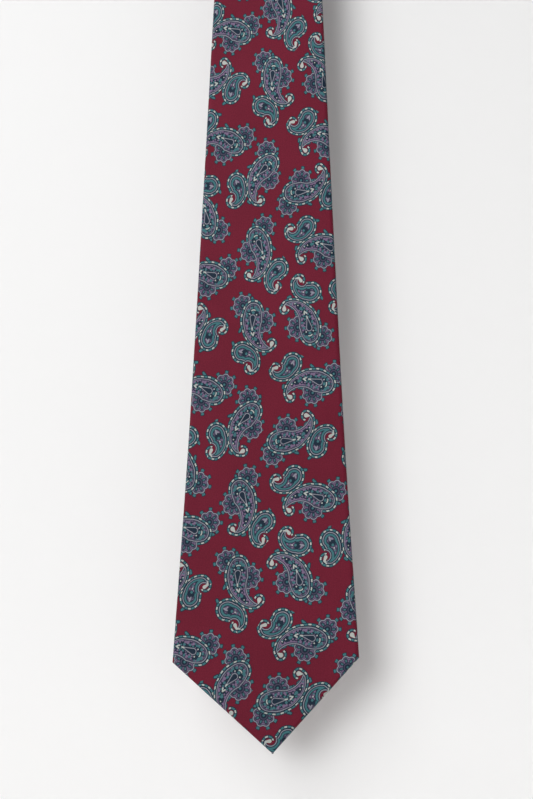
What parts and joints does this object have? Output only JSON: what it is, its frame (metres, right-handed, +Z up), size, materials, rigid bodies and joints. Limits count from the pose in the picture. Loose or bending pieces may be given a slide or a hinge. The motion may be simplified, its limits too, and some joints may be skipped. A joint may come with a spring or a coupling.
{
  "type": "necktie",
  "caption": "Paisley-print silk necktie folded over a rail: wide pointed front blade, neck gore and narrow tail blade with a keeper loop.",
  "frame": {"origin": "axis of the rail that the tie hangs over, at the middle of the neck's width", "axes": "+X across the tie, -Y towards the printed face of the front blade, +Z up"},
  "size_m": [0.09, 0.024, 0.872],
  "materials": {
    "silk_print": "printed silk twill, burgundy ground with a navy, teal, lilac and cream paisley, soft sheen",
    "interlining_wool": "brushed undyed wool interlining",
    "tipping_lining": "plain woven acetate lining, satin",
    "sewing_thread": "twisted silk thread",
    "label_satin": "blank woven satin ribbon"
  },
  "bodies": {
    "neck": {"neck_gore_shell": "silk_print", "neck_interlining": "interlining_wool", "neck_slip_stitch": "sewing_thread"},
    "front_blade": {"front_blade_shell": "silk_print", "front_interlining": "interlining_wool", "front_tipping": "tipping_lining", "front_tipping_hem_stitches": "sewing_thread", "front_slip_stitch": "sewing_thread", "front_bar_tack": "sewing_thread", "keeper_loop": "silk_print", "keeper_loop_stitches": "sewing_thread", "makers_label": "label_satin", "makers_label_stitches": "sewing_thread", "care_label_stitches": "sewing_thread", "front_gore_seam": "sewing_thread"},
    "tail_blade": {"tail_blade_shell": "silk_print", "tail_interlining": "interlining_wool", "tail_tipping": "tipping_lining", "tail_tipping_hem_stitches": "sewing_thread", "tail_slip_stitch": "sewing_thread", "tail_bar_tack": "sewing_thread", "tail_gore_seam": "sewing_thread"},
    "care_label_flap": {"care_label": "label_satin"}
  },
  "joints": [
    {"name": "front_swing", "type": "hinge", "parent": "neck", "child": "front_blade", "pos_m": [0, -0.01, -0.17], "axis": [-1, 0, 0], "range_deg": [0, 90]},
    {"name": "tail_swing", "type": "hinge", "parent": "neck", "child": "tail_blade", "pos_m": [0, 0.01, -0.108], "axis": [1, 0, 0], "range_deg": [0, 90]},
    {"name": "care_label_lift", "type": "hinge", "parent": "front_blade", "child": "care_label_flap", "pos_m": [0, -0.0072, -0.748], "axis": [1, 0, 0], "range_deg": [0, 150]}
  ]
}
